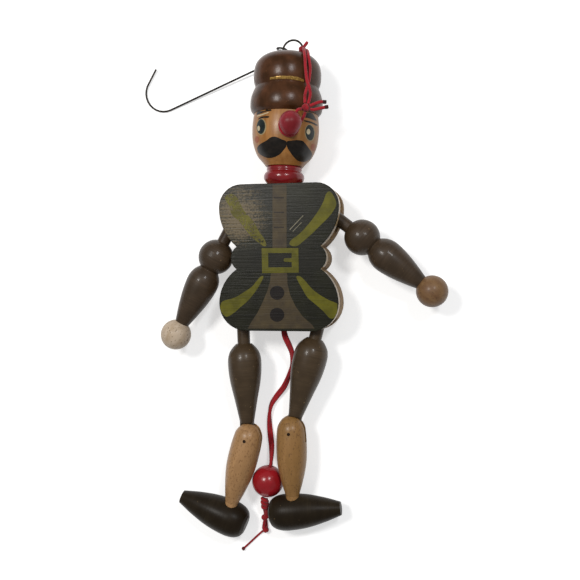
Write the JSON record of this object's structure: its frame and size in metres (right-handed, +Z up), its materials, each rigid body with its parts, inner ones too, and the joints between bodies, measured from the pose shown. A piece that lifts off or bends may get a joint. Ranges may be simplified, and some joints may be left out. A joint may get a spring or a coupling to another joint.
{
  "type": "pull string jumping jack",
  "caption": "Wooden soldier jumping jack with turned, hinged limbs, a pull cord with a red bead and a wire hanging hook, lying on its back.",
  "frame": {"origin": "middle of the footprint without its free cords, on the table that the toy lies on", "axes": "+X to the image's right across the toy, +Y from its feet to its hat, +Z up out of its face and belly"},
  "size_m": [0.1604, 0.2581, 0.0439],
  "materials": {
    "dark_green_paint": "worn satin paint on turned and sawn wood",
    "bare_sawn_wood": "unpainted sawn wood, a little darkened",
    "lacquered_wood": "clear satin lacquer on turned wood",
    "brown_hat_paint": "glossy paint with a worn gold line in the groove",
    "dark_red_paint": "glossy paint",
    "black_shoe_paint": "satin paint",
    "dark_wire": "blackened wire",
    "nail_steel": "dull nail wire",
    "red_cord": "twisted cotton cord"
  },
  "bodies": {
    "torso": {"front_board": "dark_green_paint", "back_board": "bare_sawn_wood", "neck_block": "bare_sawn_wood", "side_rail_left": "bare_sawn_wood", "side_rail_right": "bare_sawn_wood", "neck_dowel": "bare_sawn_wood", "collar": "dark_red_paint", "head": "lacquered_wood", "hat": "brown_hat_paint", "nose_bead": "dark_red_paint", "hanger_staple": "dark_wire", "shoulder_pin_left": "nail_steel", "shoulder_pin_right": "nail_steel", "hip_pin_left": "nail_steel", "hip_pin_right": "nail_steel", "arm_link_cord": "red_cord", "leg_link_cord": "red_cord", "staple_knot": "red_cord", "hang_cord_left": "red_cord", "hang_cord_right": "red_cord", "hang_knot": "red_cord", "knot_tail_upper": "red_cord", "knot_tail_lower": "red_cord", "nose_loop": "red_cord"},
    "pull": {"inner_cord": "red_cord", "pull_cord": "red_cord", "pull_bead": "dark_red_paint", "bead_knot": "red_cord", "pull_tail": "red_cord"},
    "hook": {"hanging_hook": "dark_wire"},
    "arm_left": {"arm_left": "dark_green_paint", "hand_left": "lacquered_wood"},
    "arm_right": {"arm_right": "dark_green_paint", "hand_right": "lacquered_wood"},
    "thigh_left": {"thigh_left": "dark_green_paint"},
    "thigh_right": {"thigh_right": "dark_green_paint"},
    "calf_left": {"calf_left": "lacquered_wood", "knee_pin_left": "nail_steel", "shoe_left": "black_shoe_paint"},
    "calf_right": {"calf_right": "lacquered_wood", "knee_pin_right": "nail_steel", "shoe_right": "black_shoe_paint"}
  },
  "joints": [
    {"name": "pull_slide", "type": "slide", "parent": "torso", "child": "pull", "axis": [0, -1, 0], "range_m": [0, 0.02], "deforming": ["arm_link_cord", "leg_link_cord"]},
    {"name": "shoulder_left", "type": "hinge", "parent": "torso", "child": "arm_left", "pos_m": [-0.02517, 0.03602, 0.01625], "axis": [0, 0.0314, -0.9995], "range_deg": [0, 75]},
    {"name": "shoulder_right", "type": "hinge", "parent": "torso", "child": "arm_right", "pos_m": [0.02283, 0.03842, 0.01632], "axis": [0, -0.0314, 0.9995], "range_deg": [0, 75]},
    {"name": "hip_left", "type": "hinge", "parent": "torso", "child": "thigh_left", "pos_m": [-0.02137, -0.01256, 0.01472], "axis": [0, 0.0314, -0.9995], "range_deg": [0, 46]},
    {"name": "hip_right", "type": "hinge", "parent": "torso", "child": "thigh_right", "pos_m": [0.01903, -0.01016, 0.0148], "axis": [0, -0.0314, 0.9995], "range_deg": [0, 46]},
    {"name": "knee_left", "type": "hinge", "parent": "thigh_left", "child": "calf_left", "pos_m": [-0.01876, -0.07467, 0.01277], "axis": [0, 0.0314, -0.9995], "range_deg": [0, 60]},
    {"name": "knee_right", "type": "hinge", "parent": "thigh_right", "child": "calf_right", "pos_m": [0.00356, -0.07037, 0.0129], "axis": [0, -0.0314, 0.9995], "range_deg": [0, 60]},
    {"name": "hook_swing", "type": "hinge", "parent": "torso", "child": "hook", "pos_m": [0.00438, 0.11936, 0.01887], "axis": [0, 0.0314, -0.9995], "range_deg": [0, 115]}
  ],
  "couplings": [
    {"joint": "shoulder_left", "follows": "pull_slide", "rad_per_m": 65.4},
    {"joint": "shoulder_right", "follows": "pull_slide", "rad_per_m": 65.4},
    {"joint": "hip_left", "follows": "pull_slide", "rad_per_m": 40.1},
    {"joint": "hip_right", "follows": "pull_slide", "rad_per_m": 40.1}
  ]
}
